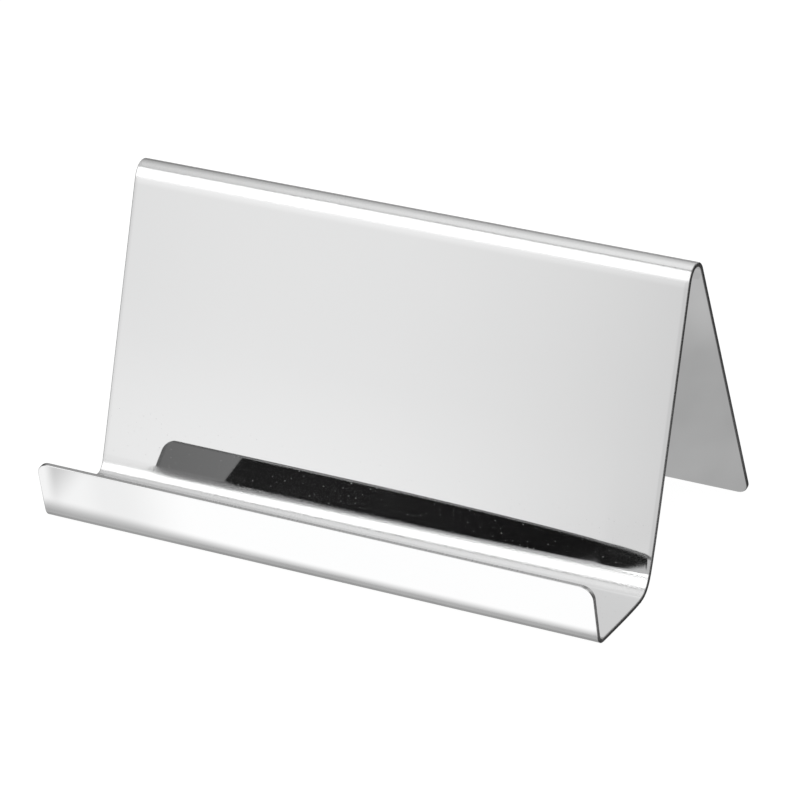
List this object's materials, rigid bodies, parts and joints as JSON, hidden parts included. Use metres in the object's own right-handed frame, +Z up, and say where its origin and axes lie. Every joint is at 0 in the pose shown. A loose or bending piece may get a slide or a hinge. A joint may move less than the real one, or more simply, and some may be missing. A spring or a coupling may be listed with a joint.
{
  "type": "business card holder stand",
  "caption": "Desk stand for business cards, folded from one bright steel sheet into a lipped tray, a leaning backrest and a rear leg, on clear pads.",
  "frame": {"origin": "on the desk, under the middle of the stand's width and depth", "axes": "+X along the width to the viewer's right, +Y from the lip to the rear leg, +Z up"},
  "size_m": [0.095, 0.0516, 0.0463],
  "materials": {
    "bright_steel": "bright polished stainless sheet with a faint fine grain",
    "clear_pad": "clear soft polyurethane, smooth"
  },
  "bodies": {
    "root": {"folded_sheet": "bright_steel", "left_pad": "clear_pad", "right_pad": "clear_pad"}
  },
  "joints": []
}
